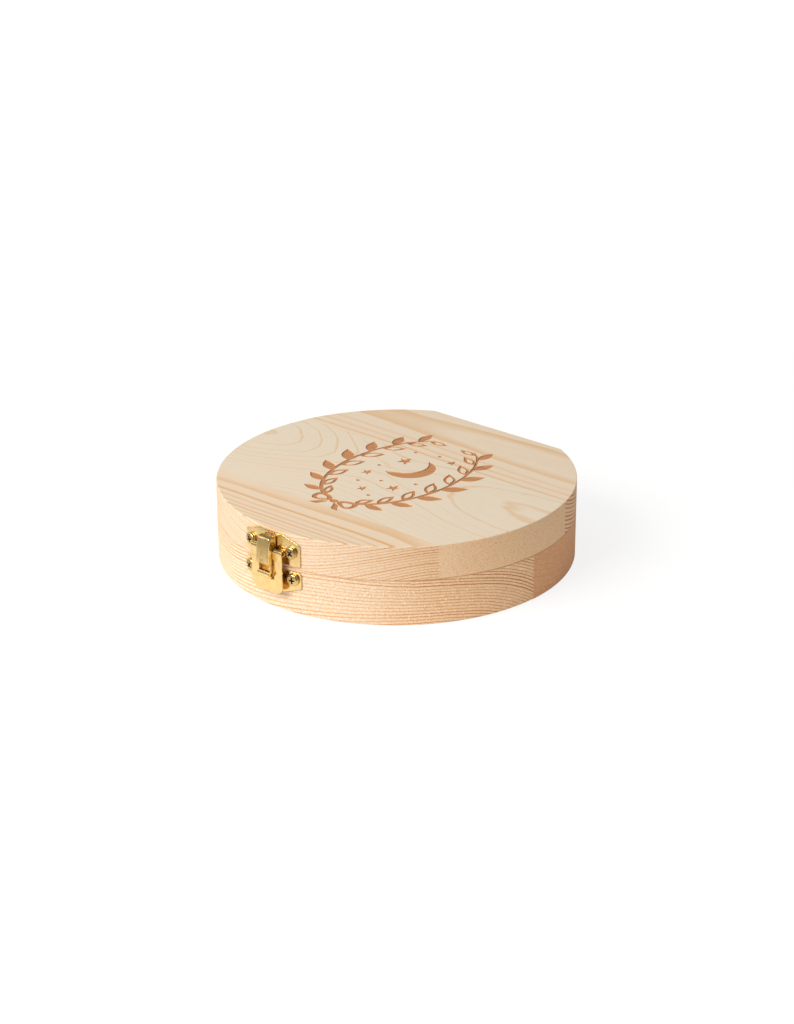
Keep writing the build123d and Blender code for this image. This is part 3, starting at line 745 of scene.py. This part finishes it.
class KEEPSAKE_OT_lid_wood(bpy.types.Operator):
    """Makes the lid's three staves with rounded rims and engraves the wreath."""
    bl_idname = "keepsake.lid_wood"
    bl_label = "Lid wood"

    def execute(self, context):
        make_staves(("lid_front_stave", "lid_middle_stave", "lid_back_stave"), "lid", PARTING, TOP, TOP,
                    wreath_cutters)
        return {"FINISHED"}


class KEEPSAKE_OT_base_wood(bpy.types.Operator):
    """Makes the base's two staves with rounded rims and mills the pockets and the recess."""
    bl_idname = "keepsake.base_wood"
    bl_label = "Base wood"

    def execute(self, context):
        make_staves(("base_front_stave", "base_back_stave"), "base", 0, PARTING, 0, pocket_cutters)
        return {"FINISHED"}


# Latch: its side views are drawn as (reach from the wall, height)

def across_at(pivot):
    """Turns a shape made along Z to lie across the latch at a pivot."""
    return Matrix.Translation((0, -RADIUS - pivot[0], pivot[1])) @ Matrix.Rotation(pi / 2, 4, "Y")


def at_side(points, x=0.0):
    """Places of side view points at a distance from the middle."""
    return [(x, -RADIUS - reach, height) for reach, height in points]


def arc(centre, radius, start, end, steps):
    """Points along an arc from one angle to another."""
    return [(centre[0] + radius * cos(radians(start + (end - start) * number / steps)),
             centre[1] + radius * sin(radians(start + (end - start) * number / steps)))
            for number in range(steps + 1)]


def strip(points, width):
    """The middle surface of a bent sheet: a side view line swept across the latch."""
    bm = bmesh.new()
    verts = [bm.verts.new(place) for place in at_side(points, -width / 2)]
    edges = [bm.edges.new(pair) for pair in zip(verts, verts[1:])]
    grown = bmesh.ops.extrude_edge_only(bm, edges=edges)
    moved = [item for item in grown["geom"] if isinstance(item, bmesh.types.BMVert)]
    bmesh.ops.translate(bm, verts=moved, vec=(width, 0, 0))
    return bm


def slice_at(bm, axis, position):
    """Adds edges where a plane across an axis meets the surface."""
    normal = Vector((0, 0, 0))
    normal[axis] = 1
    bmesh.ops.bisect_plane(bm, geom=bm.verts[:] + bm.edges[:] + bm.faces[:], dist=1e-4,
                           plane_co=normal * position, plane_no=normal)


def open_window(bm, half_width, low, high):
    """Removes what lies within a rectangle seen from the front."""
    for side in (-half_width, half_width):
        slice_at(bm, 0, side)
    for level in (low, high):
        slice_at(bm, 2, level)
    inside = [face for face in bm.faces if abs(face.calc_center_median().x) < half_width
              and low < face.calc_center_median().z < high]
    bmesh.ops.delete(bm, geom=inside, context="FACES")


def sheet_piece(name, bm, thickness, edge=None):
    """An object of sheet metal from its middle surface, with eased edges."""
    bmesh.ops.recalc_face_normals(bm, faces=bm.faces)
    obj = new_object(name, to_mesh(bm, name))
    shell = obj.modifiers.new("sheet", "SOLIDIFY")
    shell.thickness = thickness * MM
    shell.offset = 0
    shell.use_even_offset = True
    ease_edges(obj, edge)
    return obj


def ease_edges(obj, edge=None):
    """Eases the crisp edges of a metal piece."""
    ease = obj.modifiers.new("eased edges", "BEVEL")
    ease.width = edge or sizes().edge_radius
    ease.segments = 2
    ease.limit_method = "ANGLE"
    ease.angle_limit = radians(40)
    ease.harden_normals = False


def wall_sheet(corners):
    """The middle surface of a plate that follows the round wall, cut to an outline seen from the front."""
    bm = bmesh.new()
    plate = face_of(bm, [(x, 0, z) for x, z in corners])
    round_corners(bm, list(plate.verts), PLATE_CORNER, 4)
    widest = int(max(x for x, _ in corners))
    for position in range(-widest, widest + 1):
        slice_at(bm, 0, position)
    return bm


def wrap_on_wall(bm):
    """Bends a flat front view round the wall, at the middle of the plate's thickness."""
    for vert in bm.verts:
        vert.co.y = -sqrt((RADIUS + PLATE / 2) ** 2 - vert.co.x ** 2)


def wall_seat(offset, height, radius=RADIUS + PLATE):
    """The seat of a screw that stands straight out from the round wall."""
    angle = asin(offset / RADIUS)
    return Matrix(((cos(angle), 0, sin(angle), radius * sin(angle)),
                   (sin(angle), 0, -cos(angle), -radius * cos(angle)),
                   (0, 1, 0, height), (0, 0, 0, 1)))


def cross_cutter(length, width, depth, top):
    """Cutter for the cross in a screw's head: two crossed wedges as one closed shape."""
    bm = bmesh.new()
    bmesh.ops.create_cube(bm, size=width)
    sides = [face for face in bm.faces if abs(face.normal.z) < 0.5]
    grown = bmesh.ops.extrude_discrete_faces(bm, faces=sides)
    for face in grown["faces"]:
        bmesh.ops.translate(bm, verts=face.verts, vec=face.normal * (length - width) / 2)
    for vert in bm.verts:
        low = vert.co.z < 0
        if low:
            vert.co.x *= 0.45
            vert.co.y *= 0.45
        vert.co.z = top - depth if low else top + 0.5
    bmesh.ops.recalc_face_normals(bm, faces=bm.faces)
    return bm


def slot_cutter(length, width, depth, top):
    """Cutter for a straight slot across a screw's head."""
    bm = bmesh.new()
    bmesh.ops.create_cube(bm, size=1.0)
    for vert in bm.verts:
        vert.co.x *= length
        vert.co.y *= width
        vert.co.z = top - depth if vert.co.z < 0 else top + 0.5
    return bm


def dome(radius, low, high, steps=7):
    """Profile points over a dome from its top to its rim."""
    rise = high - low
    ball = (radius ** 2 + rise ** 2) / (2 * rise)
    return [(radius * number / steps, high - ball + sqrt(ball ** 2 - (radius * number / steps) ** 2))
            for number in range(steps + 1)]


def latch_screw():
    """A small pan head screw on its seat, with its pointed shank."""
    rim = [(1.95, 1.02), (2.1, 0.85), (2.17, 0.66), (2.2, 0.45), (2.2, 0.1), (2.14, 0.0)]
    shank = [(0.95, 0.0), (0.95, -5.7), (0, -7.5)]
    return turned(dome(1.7, 1.12, LATCH_HEAD_HEIGHT, 5) + rim + shank, 40)


def hinge_screw():
    """A countersunk screw with a slightly domed head, and its pointed shank."""
    shank = [(0.75, -0.75), (0.75, -4.2), (0, -5.6)]
    return turned(dome(1.5, 0.0, HINGE_HEAD_HEIGHT, 5) + shank, 32)


def screw_group(name, body, make, recess, seats, turns, recess_reach, head_height):
    """Several like screws in one piece, each with its recess painted dark as shade, and turned as it happened
    to stop.
    """
    whole = bmesh.new()
    for seat, turn in zip(seats, turns):
        single = new_object("single screw", to_mesh(make(), "single screw"))
        cut_away(single, [cutter(recess())])
        bm = bmesh.new()
        bm.from_mesh(single.data)
        bmesh.ops.scale(bm, verts=bm.verts, vec=(1 / MM, 1 / MM, 1 / MM))
        # Faces deep in the recess take the second material, painted dark as shade
        for face in bm.faces:
            middle = face.calc_center_median()
            if hypot(middle.x, middle.y) < recess_reach and 0 < middle.z < head_height - RECESS_LIP:
                face.material_index = 1
        bpy.data.objects.remove(single)
        add_into(whole, bm, seat @ Matrix.Rotation(radians(turn), 4, "Z"))
    obj = new_object(name.replace("_", "-"), to_mesh(whole, name))
    ease_edges(obj, SCREW_EDGE * MM)
    finish_brass(obj, body, name, "screw brass", "recess shade brass")


class KEEPSAKE_OT_catch_plate(bpy.types.Operator):
    """Makes the catch plate on the lid, with its lip lanced out and bent up."""
    bl_idname = "keepsake.catch_plate"
    bl_label = "Catch plate"

    def execute(self, context):
        bm = wall_sheet(CATCH_OUTLINE)
        open_window(bm, 2.2, 23.2, 26.2)
        wrap_on_wall(bm)
        bend = arc((0.95, 23.25), 0.35, -90, 0, 4)
        add_into(bm, strip([(0.1, 22.9), (0.7, 22.9)] + bend + [(1.3, 25.55)], LIP_WIDTH))
        obj = sheet_piece("catch-plate", bm, PLATE)
        finish_brass(obj, "lid", "catch_plate", "polished brass X")
        return {"FINISHED"}


class KEEPSAKE_OT_back_plate(bpy.types.Operator):
    """Makes the back plate on the base, with the strap that is rolled round the lever's pin."""
    bl_idname = "keepsake.back_plate"
    bl_label = "Back plate"

    def execute(self, context):
        bm = wall_sheet(BACK_OUTLINE)
        wrap_on_wall(bm)
        obj = sheet_piece("back-plate", bm, PLATE)
        finish_brass(obj, "base", "latch_back_plate", "polished brass X")
        rise = [(0.375, 12.6), (0.375, 14.2), (1.14, 16.4), (1.135, 19.0)]
        roll = arc(LEVER_PIVOT, STRAP_ROLL, 180, -110, 18)
        strap = sheet_piece("strap", strip(rise + roll, STRAP_WIDTH), SHEET)
        finish_brass(strap, "base", "latch_back_plate", "polished brass Z")
        return {"FINISHED"}


class KEEPSAKE_OT_lever(bpy.types.Operator):
    """Makes the toggle lever: a plate with a window, rolled round its pin, and the rolled tongue."""
    bl_idname = "keepsake.lever"
    bl_label = "Lever"

    def execute(self, context):
        face = [(2.375, LEVER_FOOT), (2.375, 9.0), (2.375, 18.0), (2.41, 18.8), (2.56, 20.3)]
        bm = strip(face + arc(LEVER_PIVOT, LEVER_ROLL, -10, 290, 20), LEVER_WIDTH)
        bottom = [vert for vert in bm.verts if vert.co.z < LEVER_FOOT + 0.1]
        round_corners(bm, bottom, LEVER_CORNER, 10)
        open_window(bm, WINDOW_WIDTH / 2, WINDOW_LOW, WINDOW_HIGH)
        # The roll is parted in the middle for the strap
        for side in (-STRAP_GAP / 2, STRAP_GAP / 2):
            slice_at(bm, 0, side)
        parted = [face for face in bm.faces if abs(face.calc_center_median().x) < STRAP_GAP / 2
                  and face.calc_center_median().z > WINDOW_HIGH]
        bmesh.ops.delete(bm, geom=parted, context="FACES")
        obj = sheet_piece("lever", bm, SHEET)
        finish_brass(obj, "lever", "latch_lever", "polished brass Z")
        root = arc((3.175, 10.77), 0.8, 180, 135, 4)
        roll = arc(CLAW_PIVOT, TONGUE_ROLL, -45, 200, 18)
        tongue = sheet_piece("tongue", strip(root + roll, TONGUE_WIDTH), SHEET, TONGUE_EDGE * MM)
        finish_brass(tongue, "lever", "latch_lever", "polished brass Z")
        return {"FINISHED"}


def claw_outside(bm):
    """The long edges of the claw's channel, at the bend between its web and its cheeks."""
    outside = []
    for edge in bm.edges:
        first, second = (vert.co for vert in edge.verts)
        at_cheek = all(abs(abs(place.x) - CLAW_WIDTH / 2) < 1e-4 for place in (first, second))
        along_cheek = abs(first.x - second.x) < 1e-4
        outer = min(-first.y, -second.y) - RADIUS > 2.9 or first.z > CLAW_TOP - 0.4
        above_foot = min(first.z, second.z) > CLAW_FOOT - 0.1 and max(first.z, second.z) > CLAW_FOOT + 0.1
        if at_cheek and along_cheek and outer and above_foot:
            outside.append(edge)
    return outside


class KEEPSAKE_OT_claw(bpy.types.Operator):
    """Makes the claw: a channel that hooks over the lip, notched for the lever's roll, on two legs."""
    bl_idname = "keepsake.claw"
    bl_label = "Claw"

    def execute(self, context):
        back, top, bend, foot = CLAW_REACHES
        eye = [arc(CLAW_PIVOT, EYE_RADIUS, turn, turn, 1)[0]
               for turn in (64.6, 40, 15, -10, -35, -60, -90, -120, -150, -180)]
        front = [(back, CLAW_TOP), (top, CLAW_TOP), (bend, CLAW_BEND), (foot, CLAW_FOOT), (3.7, CLAW_FOOT)]
        notch = [(2.0, CLAW_FOOT), (2.0, 20.11), (2.985, 20.11), (2.985, 22.49), (back, 22.49)]
        bm = bmesh.new()
        face_of(bm, at_side(front + eye + notch, -CLAW_WIDTH / 2))
        for reach, radius in zip((back, top), CLAW_CORNERS):
            corner = [vert for vert in bm.verts
                      if vert.co.z > CLAW_TOP - 0.1 and abs(-vert.co.y - RADIUS - reach) < 1e-3]
            round_corners(bm, corner, radius, 6)
        push(bm, bm.faces[:], (CLAW_WIDTH, 0, 0))
        round_edges(bm, claw_outside(bm), CLAW_EDGE, 5, False)
        obj = new_object("claw", to_mesh(bm, "claw"))
        inside = [(-1.0, CLAW_TOP - SHEET), (top - SHEET, CLAW_TOP - SHEET), (bend - SHEET, CLAW_BEND),
                  (foot - SHEET, CLAW_FOOT), (7.0, CLAW_FOOT), (7.0, 10.0), (-1.0, 10.0)]
        inner = bmesh.new()
        face_of(inner, at_side(inside, -CLAW_WIDTH / 2 + SHEET))
        push(inner, inner.faces[:], (CLAW_WIDTH - 2 * SHEET, 0, 0))
        hole = turned([(0, -4), (EYE_BORE, -4), (EYE_BORE, 4), (0, 4)], 24)
        hole.transform(across_at(CLAW_PIVOT))
        cut_away(obj, [cutter(inner)])
        cut_away(obj, [cutter(hole)])
        ease_edges(obj)
        finish_brass(obj, "claw", "latch_claw", "claw brass")
        return {"FINISHED"}


class KEEPSAKE_OT_latch_pins(bpy.types.Operator):
    """Makes the lever's pin and the claw's pin, with eased ends."""
    bl_idname = "keepsake.latch_pins"
    bl_label = "Latch pins"

    def execute(self, context):
        ease = 0.12
        for name, body, pivot, radius, half in (("lever_pin", "base", LEVER_PIVOT, 0.4, 6.0),
                                                ("claw_pin", "claw_pin", CLAW_PIVOT, 0.6, 2.55)):
            bm = turned([(0, -half), (radius - ease, -half), (radius, -half + ease), (radius, half - ease),
                         (radius - ease, half), (0, half)], 24)
            bm.transform(across_at(pivot))
            obj = new_object(name.replace("_", "-"), to_mesh(bm, name))
            finish_brass(obj, body, name, "polished brass X")
        return {"FINISHED"}


class KEEPSAKE_OT_latch_screws(bpy.types.Operator):
    """Makes the pan head screws of the catch plate and of the back plate."""
    bl_idname = "keepsake.latch_screws"
    bl_label = "Latch screws"

    def execute(self, context):
        for name, body, offset, height, turns in (("catch_plate_screws", "lid", 8.85, 21.9, (20, -35)),
                                                  ("back_plate_screws", "base", 9.43, 12.4, (50, 5))):
            seats = [wall_seat(side * offset, height) for side in (-1, 1)]
            screw_group(name, body, latch_screw, lambda: cross_cutter(2.9, 0.8, 1.0, LATCH_HEAD_HEIGHT),
                        seats, turns, 1.5, LATCH_HEAD_HEIGHT)
        return {"FINISHED"}


class KEEPSAKE_OT_hinges(bpy.types.Operator):
    """Gives the hinge leaves and their pins the look of drawn brass."""
    bl_idname = "keepsake.hinges"
    bl_label = "Hinges"

    def execute(self, context):
        for hand in ("left", "right"):
            for kind in ("base_leaf", "lid_leaf", "pin"):
                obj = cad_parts[f"{hand}_hinge_{kind}"]
                for slot in obj.material_slots:
                    slot.material = brass("polished brass X")
        return {"FINISHED"}


class KEEPSAKE_OT_hinge_screws(bpy.types.Operator):
    """Makes the slotted countersunk screws of the hinges."""
    bl_idname = "keepsake.hinge_screws"
    bl_label = "Hinge screws"

    def execute(self, context):
        for name, body, rise in (("lid_hinge_screws", "lid", 4.6), ("base_hinge_screws", "base", -4.6)):
            seats = []
            for middle in (-17.0, 17.0):
                for end in (-4.5, 4.5):
                    seats.append(Matrix(((-1, 0, 0, middle + end), (0, 0, 1, FLAT + 0.8),
                                         (0, 1, 0, PARTING + rise), (0, 0, 0, 1))))
            screw_group(name, body, hinge_screw, lambda: slot_cutter(4.0, 0.42, 0.4, HINGE_HEAD_HEIGHT),
                        seats, (15, 80, -30, 55), 1.4, HINGE_HEAD_HEIGHT)
        return {"FINISHED"}


# Stage

def area_light(name, place, size, power, colour):
    """A soft light at a place, turned towards the box."""
    light = bpy.data.lights.new(name, "AREA")
    light.shape = "RECTANGLE"
    light.size, light.size_y = size
    light.energy = power
    light.color = colour
    obj = new_object(name, light)
    aim = (Vector(LIT_POINT) - Vector(place)).to_track_quat("-Z", "Y")
    obj.matrix_world = Matrix.Translation(place) @ aim.to_matrix().to_4x4()


def floor_material():
    """White floor: lit like paper, and lifted for the camera until only the shadow falls below white."""
    material, tree, shader = new_material("white floor")
    shader.inputs["Roughness"].default_value = 1.0
    shader.inputs["Specular IOR Level"].default_value = 0.0
    path = node(tree, "ShaderNodeLightPath").outputs
    seen = path["Is Camera Ray"]
    # The paper is darker further off, where the lights no longer reach, and more so in the brass
    place = node(tree, "ShaderNodeNewGeometry").outputs["Position"]
    away = node(tree, "ShaderNodeVectorMath", {0: place}, operation="LENGTH").outputs["Value"]
    paper = smooth_step(tree, away, 0.07, 0.25, 0.95, 0.3)
    mirrored_paper = smooth_step(tree, away, 0.078, 0.16, 0.98, 0.3)
    paper = scaled(tree, path["Is Glossy Ray"], calc(tree, "SUBTRACT", mirrored_paper, paper), paper)
    paper = blend_colours(tree, seen, grey(tree, paper), (FLOOR_SHADOW, FLOOR_SHADOW, FLOOR_SHADOW))
    tree.links.new(paper, shader.inputs["Base Color"])
    lift = times(tree, seen, smooth_step(tree, away, 0.2, 0.6, FLOOR_LIFT, 1.0))
    tree.links.new(lift, shader.inputs["Emission Strength"])
    shader.inputs["Emission Color"].default_value = (1, 1, 1, 1)
    return material


class KEEPSAKE_OT_stage(bpy.types.Operator):
    """Sets the camera, the white floor and the soft studio lights."""
    bl_idname = "keepsake.stage"
    bl_label = "Stage"

    def execute(self, context):
        scene = context.scene
        bm = bmesh.new()
        bmesh.ops.create_grid(bm, x_segments=1, y_segments=1, size=FLOOR_HALF)
        floor = new_object("floor", to_mesh(bm, "floor"))
        floor.data.materials.append(floor_material())

        azimuth, elevation = radians(CAMERA_AZIMUTH), radians(CAMERA_ELEVATION)
        roll = radians(CAMERA_ROLL)
        towards = Vector((sin(azimuth) * cos(elevation), -cos(azimuth) * cos(elevation), sin(elevation)))
        level = Vector((cos(azimuth), sin(azimuth), 0))
        upright = level.cross(-towards)
        right = level * cos(roll) + upright * sin(roll)
        up = upright * cos(roll) - level * sin(roll)
        place = (towards * CAMERA_DISTANCE + level * CAMERA_ASIDE + upright * CAMERA_LIFT) * MM
        camera = new_object("camera", bpy.data.cameras.new("camera"))
        camera.data.lens = LENS
        camera.data.sensor_width = SENSOR
        camera.data.clip_start = 0.01
        turn = Matrix((right, up, towards)).transposed()
        camera.matrix_world = Matrix.Translation(place) @ turn.to_4x4()
        scene.camera = camera

        for light in LIGHTS:
            area_light(*light)

        world = bpy.data.worlds.new("studio")
        world.use_nodes = True
        scene.world = world
        tree = world.node_tree
        surround = tree.nodes["Background"]
        surround.inputs["Color"].default_value = (1, 1, 1, 1)
        path = node(tree, "ShaderNodeLightPath").outputs
        strength = scaled(tree, path["Is Glossy Ray"], WORLD_GLOSS - WORLD_LIGHT, WORLD_LIGHT)
        strength = calc(tree, "MAXIMUM", strength, path["Is Camera Ray"])
        tree.links.new(strength, surround.inputs["Strength"])
        scene.view_settings.view_transform = "Standard"
        return {"FINISHED"}


STEPS = (
    KEEPSAKE_OT_lid_wood,
    KEEPSAKE_OT_base_wood,
    KEEPSAKE_OT_catch_plate,
    KEEPSAKE_OT_back_plate,
    KEEPSAKE_OT_lever,
    KEEPSAKE_OT_claw,
    KEEPSAKE_OT_latch_pins,
    KEEPSAKE_OT_latch_screws,
    KEEPSAKE_OT_hinges,
    KEEPSAKE_OT_hinge_screws,
    KEEPSAKE_OT_stage,
)


class KEEPSAKE_PT_box(bpy.types.Panel):
    """Lists the sizes, the colours and the pieces of the box."""
    bl_idname = "KEEPSAKE_PT_box"
    bl_label = "Keepsake Box"
    bl_space_type = "VIEW_3D"
    bl_region_type = "UI"
    bl_category = "Keepsake Box"

    def draw(self, context):
        for group in (context.scene.keepsake_sizes, context.scene.keepsake_colours):
            for name in group.__annotations__:
                self.layout.prop(group, name)
        for step in STEPS:
            self.layout.operator(step.bl_idname)


def register():
    for cls in (BoxSizes, BoxColours, *STEPS, KEEPSAKE_PT_box):
        bpy.utils.register_class(cls)
    bpy.types.Scene.keepsake_sizes = bpy.props.PointerProperty(type=BoxSizes)
    bpy.types.Scene.keepsake_colours = bpy.props.PointerProperty(type=BoxColours)


def unregister():
    del bpy.types.Scene.keepsake_colours
    del bpy.types.Scene.keepsake_sizes
    for cls in reversed((BoxSizes, BoxColours, *STEPS, KEEPSAKE_PT_box)):
        bpy.utils.unregister_class(cls)


def main():
    """Builds every piece and the stage."""
    register()
    for step in STEPS:
        group, name = step.bl_idname.split(".")
        getattr(getattr(bpy.ops, group), name)()


if __name__ == "__main__":
    main()
